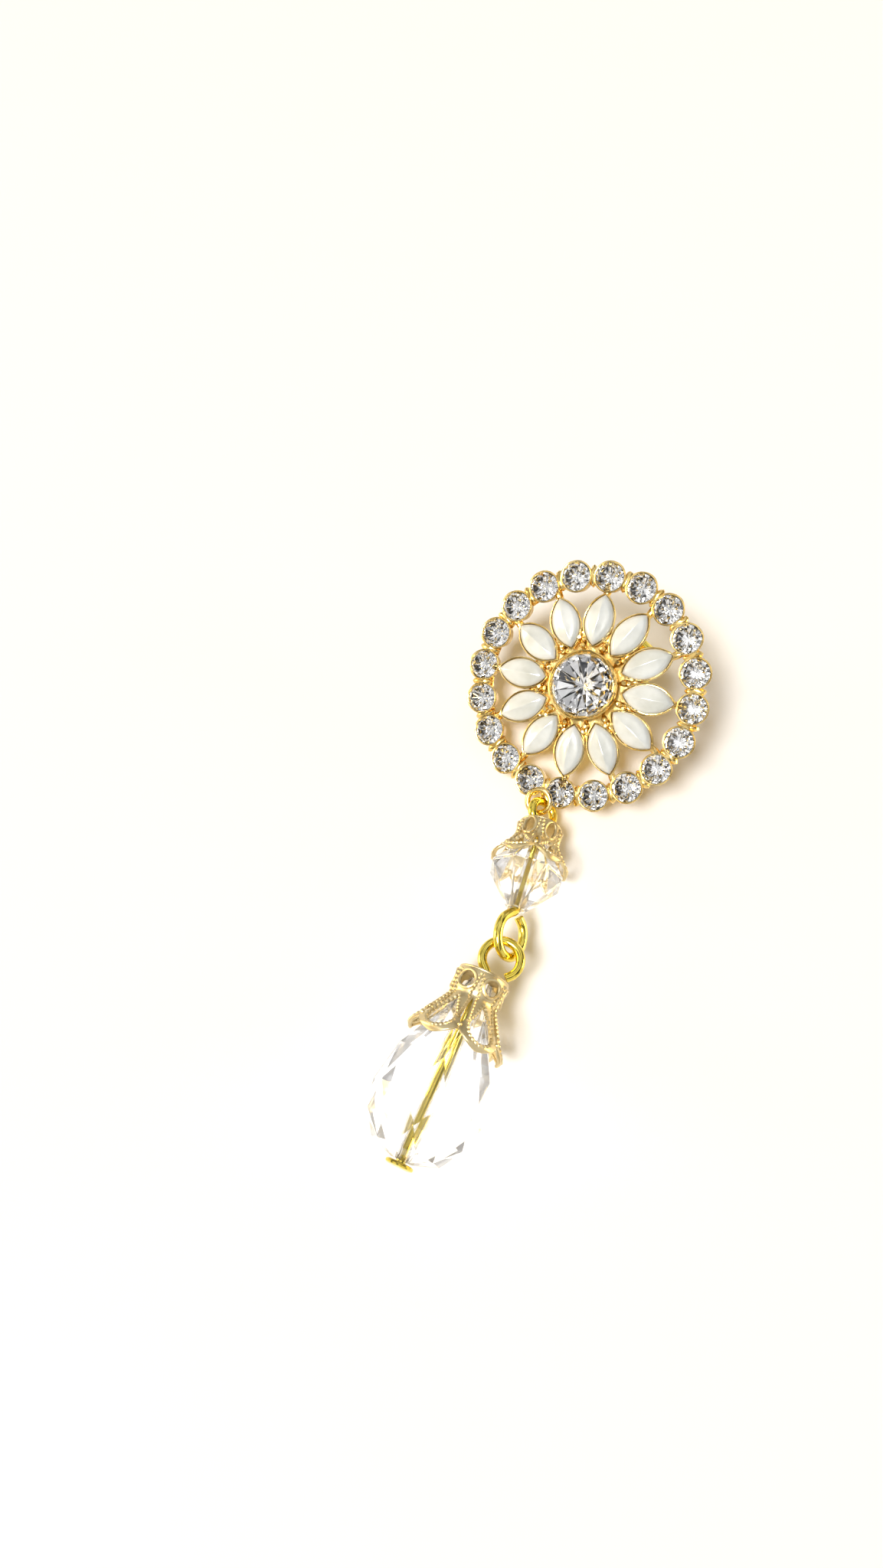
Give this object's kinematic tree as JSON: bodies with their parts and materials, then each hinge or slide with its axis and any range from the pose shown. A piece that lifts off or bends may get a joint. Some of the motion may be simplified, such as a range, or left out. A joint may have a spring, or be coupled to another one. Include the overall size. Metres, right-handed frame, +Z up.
{
  "type": "chandelier clip earring",
  "caption": "Gold flower medallion set with clear and pearly stones, an ear clip behind it, and two capped glass drops linked below, lying on its back.",
  "frame": {"origin": "on the table, under the middle of the whole earring's box", "axes": "+Z up from the table; +Y along the earring, from the teardrop bead towards the medallion; +X across it"},
  "size_m": [0.0254, 0.0624, 0.016],
  "materials": {
    "bright_gold": "bright gold plate over cast metal",
    "lemon_gold": "polished lemon gold plated wire and sheet",
    "pale_gold": "pale antique gold plate over pierced stampings",
    "rhinestone": "faceted crystal with a silver foil back",
    "pearl": "glossy pearly white",
    "clear_glass": "clear faceted glass"
  },
  "bodies": {
    "earring": {"medallion_frame": "bright_gold", "rim_stone_01": "rhinestone", "rim_stone_02": "rhinestone", "rim_stone_03": "rhinestone", "rim_stone_04": "rhinestone", "rim_stone_05": "rhinestone", "rim_stone_06": "rhinestone", "rim_stone_07": "rhinestone", "rim_stone_08": "rhinestone", "rim_stone_09": "rhinestone", "rim_stone_10": "rhinestone", "rim_stone_11": "rhinestone", "rim_stone_12": "rhinestone", "rim_stone_13": "rhinestone", "rim_stone_14": "rhinestone", "rim_stone_15": "rhinestone", "rim_stone_16": "rhinestone", "rim_stone_17": "rhinestone", "rim_stone_18": "rhinestone", "rim_stone_19": "rhinestone", "rim_stone_20": "rhinestone", "centre_stone": "rhinestone", "petal_01": "pearl", "petal_02": "pearl", "petal_03": "pearl", "petal_04": "pearl", "petal_05": "pearl", "petal_06": "pearl", "petal_07": "pearl", "petal_08": "pearl", "petal_09": "pearl", "petal_10": "pearl", "petal_11": "pearl", "petal_12": "pearl", "eye_pin": "lemon_gold", "head_pin": "lemon_gold", "small_cap": "pale_gold", "large_cap": "pale_gold", "bicone_bead": "clear_glass", "teardrop_bead": "clear_glass"},
    "clip": {"clip_lever": "lemon_gold"}
  },
  "joints": [
    {"name": "clip_hinge", "type": "hinge", "parent": "earring", "child": "clip", "pos_m": [0.00357, 0.02639, 0.00752], "axis": [0.8942, -0.4478, 0], "range_deg": [0, 70]}
  ]
}
